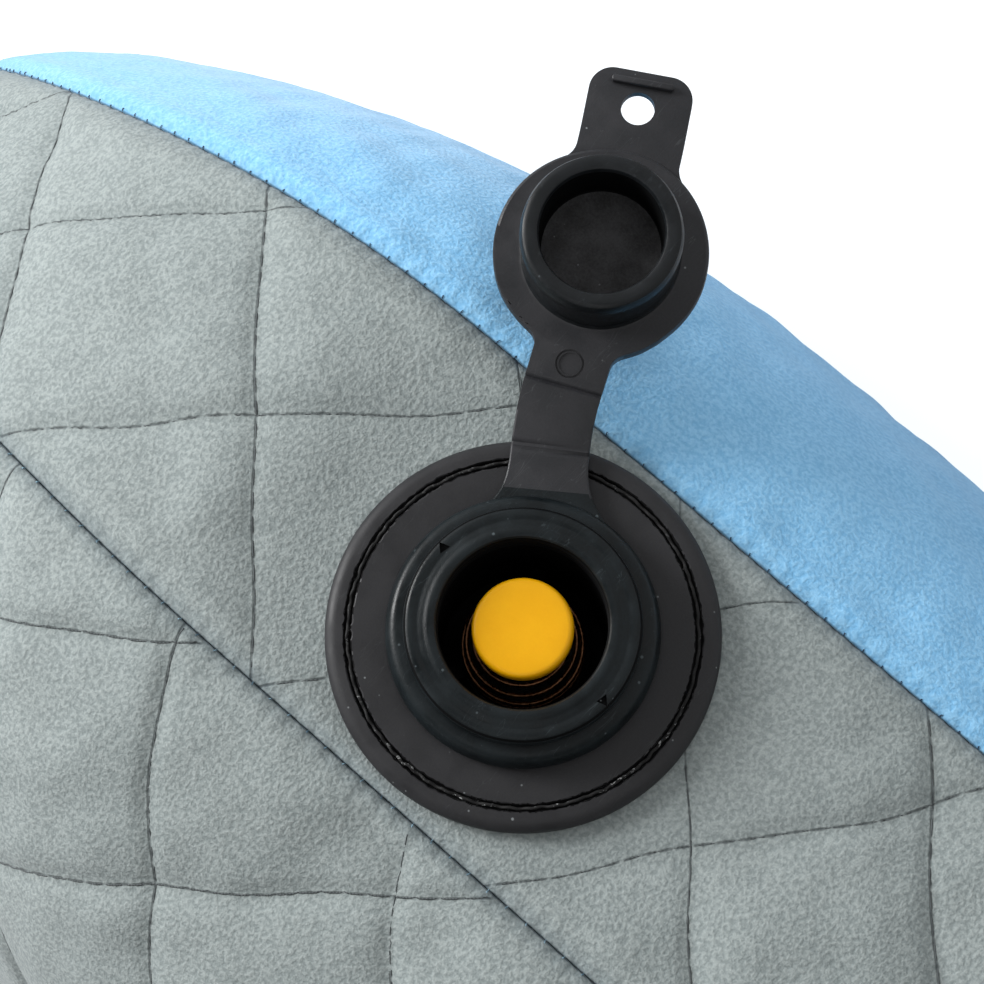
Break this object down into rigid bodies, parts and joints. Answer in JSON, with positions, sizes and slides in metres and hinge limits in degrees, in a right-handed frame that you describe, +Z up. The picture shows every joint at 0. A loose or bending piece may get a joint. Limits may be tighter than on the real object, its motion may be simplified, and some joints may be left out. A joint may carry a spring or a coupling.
{
  "type": "inflatable camp pillow",
  "caption": "Inflatable camp pillow with a quilted suede cover, a side gusset and a push-button air valve under a tethered plug cap.",
  "frame": {"origin": "middle of the flat patch that the pillow rests on, on its underside", "axes": "+X along the length, towards the end that the valve is nearer to; +Y away from the valve's side; +Z up, out of the sleeping face"},
  "size_m": [0.42, 0.3069, 0.1518],
  "materials": {
    "grey_suede": "quilted brushed microsuede, matt, faint nap",
    "blue_suede": "plain brushed microsuede, matt, soft sheen at the edges",
    "wadding": "soft polyester wadding",
    "bladder_film": "soft film, satin",
    "flange_plastic": "soft moulded plastic, dark brown-grey, fine matt texture",
    "valve_plastic": "flexible moulded plastic, blue-black, satin",
    "black_thread": "bonded thread",
    "seal_rubber": "soft rubber, matt",
    "orange_plastic": "moulded plastic, satin orange-yellow",
    "spring_steel": "drawn wire, dulled"
  },
  "bodies": {
    "root": {"top_panel": "grey_suede", "top_wadding": "wadding", "gusset_front": "grey_suede", "gusset_back": "grey_suede", "gusset_wadding_front": "wadding", "gusset_wadding_back": "wadding", "bottom_panel": "blue_suede", "bladder_top": "bladder_film", "bladder_bottom": "bladder_film", "bladder_wall": "bladder_film", "baffle_1": "bladder_film", "baffle_2": "bladder_film", "baffle_3": "bladder_film", "baffle_4": "bladder_film", "cover_flange": "flange_plastic", "flange_thread": "black_thread", "weld_socket": "bladder_film", "socket_seal": "seal_rubber", "valve_body": "valve_plastic", "spring": "spring_steel"},
    "plunger": {"button": "orange_plastic", "seal_disc": "seal_rubber", "retainer": "orange_plastic"},
    "tether": {"tether_ring": "valve_plastic"},
    "link": {"strap_link": "valve_plastic"},
    "lid": {"cap": "valve_plastic"}
  },
  "joints": [
    {"name": "button_press", "type": "slide", "parent": "root", "child": "plunger", "axis": [0, 1, 0], "range_m": [0, 0.004], "stiffness_N_per_m": 500, "springref_m": -0.002, "deforming": ["spring"]},
    {"name": "tether_swivel", "type": "hinge", "parent": "root", "child": "tether", "pos_m": [0.0675, -0.145, 0.0679], "axis": [0, -1, 0], "continuous": true},
    {"name": "strap_fold", "type": "hinge", "parent": "tether", "child": "link", "pos_m": [0.0788, -0.1492, 0.04833], "axis": [-0.866, 0, -0.5], "range_deg": [0, 118.45], "stiffness_Nm_per_rad": 0.008},
    {"name": "cap_fold", "type": "hinge", "parent": "link", "child": "lid", "pos_m": [0.08259, -0.15123, 0.04176], "axis": [-0.866, 0, -0.5], "range_deg": [0, 59.55], "stiffness_Nm_per_rad": 0.008}
  ]
}
